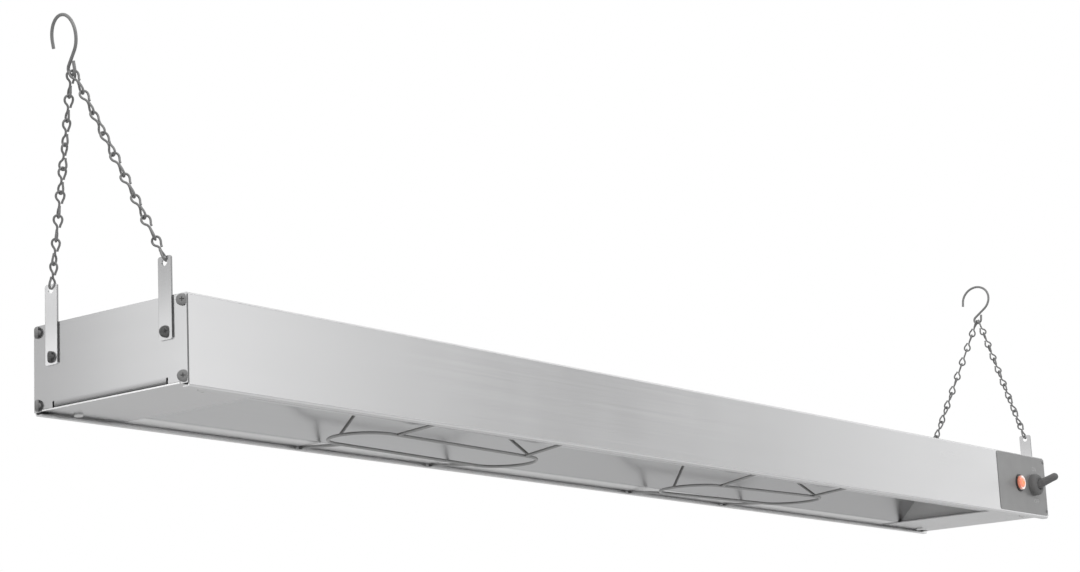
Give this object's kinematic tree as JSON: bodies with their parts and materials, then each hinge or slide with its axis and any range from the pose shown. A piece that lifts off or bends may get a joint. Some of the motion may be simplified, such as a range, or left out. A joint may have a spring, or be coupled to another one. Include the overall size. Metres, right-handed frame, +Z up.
{
  "type": "strip heat lamp",
  "caption": "Long infrared strip heat lamp with a folded steel housing, reflector trough, rod element behind wire guards, toggle switch, pilot light and chain slings with hooks.",
  "frame": {"origin": "centre of the housing's flat top face", "axes": "+X along the housing towards the end with the switch, -Y out of the side that carries the switch, +Z up"},
  "size_m": [1.295, 0.1771, 0.266],
  "materials": {
    "stainless": "fine lengthwise brushing",
    "bright_aluminium": "semi-bright",
    "plated_steel": "zinc plated",
    "plated_wire": "bright zinc plated",
    "screw_steel": "dull",
    "element_sheath": "heat-dulled",
    "fibre_blanket": "matte fibre",
    "ceramic": "matte",
    "brass": "plain",
    "label_film": "satin",
    "dark_plastic": "satin",
    "pale_plastic": "satin",
    "amber_lens": "glossy, translucent",
    "black_rubber": "matte",
    "lead_jacket": "braided sleeve",
    "earth_jacket": "satin"
  },
  "bodies": {
    "housing": {"housing_channel": "stainless", "end_plate_left": "stainless", "end_plate_right": "stainless", "end_plate_screws": "screw_steel", "hanger_strap_left_near": "stainless", "hanger_strap_left_far": "stainless", "hanger_strap_right_near": "stainless", "hanger_strap_right_far": "stainless", "strap_screws": "screw_steel", "bottom_cover_left": "stainless", "bottom_cover_right": "stainless", "cover_screws": "screw_steel", "reflector": "bright_aluminium", "bulkhead_left": "plated_steel", "bulkhead_right": "plated_steel", "insulation_blanket": "fibre_blanket", "heating_element": "element_sheath", "terminal_pins": "plated_steel", "terminal_nuts": "brass", "element_bushing_left": "ceramic", "element_bushing_right": "ceramic", "element_clip_left": "plated_steel", "element_clip_middle": "plated_steel", "element_clip_right": "plated_steel", "wire_guard_left": "plated_wire", "wire_guard_right": "plated_wire", "control_label": "label_film", "indicator_body": "dark_plastic", "indicator_lens": "amber_lens", "indicator_bezel": "dark_plastic", "switch_body": "dark_plastic", "switch_thread": "plated_steel", "switch_nut": "plated_steel", "switch_boot": "black_rubber", "terminal_block": "pale_plastic", "terminal_block_screws": "brass", "earth_stud": "plated_steel", "earth_nut": "brass", "cord_inlet_bushing": "dark_plastic", "return_lead": "lead_jacket", "element_lead": "lead_jacket", "switch_lead": "lead_jacket", "lamp_leads": "lead_jacket", "earth_lead": "earth_jacket"},
    "toggle": {"lever_cover": "black_rubber", "lever_core": "plated_steel"},
    "left_sling": {"chain_left_near": "plated_wire", "chain_left_far": "plated_wire"},
    "right_sling": {"chain_right_near": "plated_wire", "chain_right_far": "plated_wire"},
    "left_hook": {"hook_left": "plated_wire"},
    "right_hook": {"hook_right": "plated_wire"}
  },
  "joints": [
    {"name": "toggle_throw", "type": "hinge", "parent": "housing", "child": "toggle", "pos_m": [0.5822, -0.07963, -0.03], "axis": [1, 0, 0], "range_deg": [0, 36]},
    {"name": "left_sling_swing", "type": "hinge", "parent": "housing", "child": "left_sling", "pos_m": [-0.61142, 0, 0.02545], "axis": [0, 1, 0], "range_deg": [-65, 60]},
    {"name": "right_sling_swing", "type": "hinge", "parent": "housing", "child": "right_sling", "pos_m": [0.61142, 0, 0.02545], "axis": [0, 1, 0], "range_deg": [-82, 68]},
    {"name": "left_hook_turn", "type": "hinge", "parent": "left_sling", "child": "left_hook", "pos_m": [-0.64154, 0, 0.15909], "axis": [0.9542, -0.2079, 0.215], "range_deg": [-45, 45]},
    {"name": "right_hook_turn", "type": "hinge", "parent": "right_sling", "child": "right_hook", "pos_m": [0.63568, 0, 0.16028], "axis": [0.9836, 0.0349, -0.177], "range_deg": [-45, 45]}
  ]
}
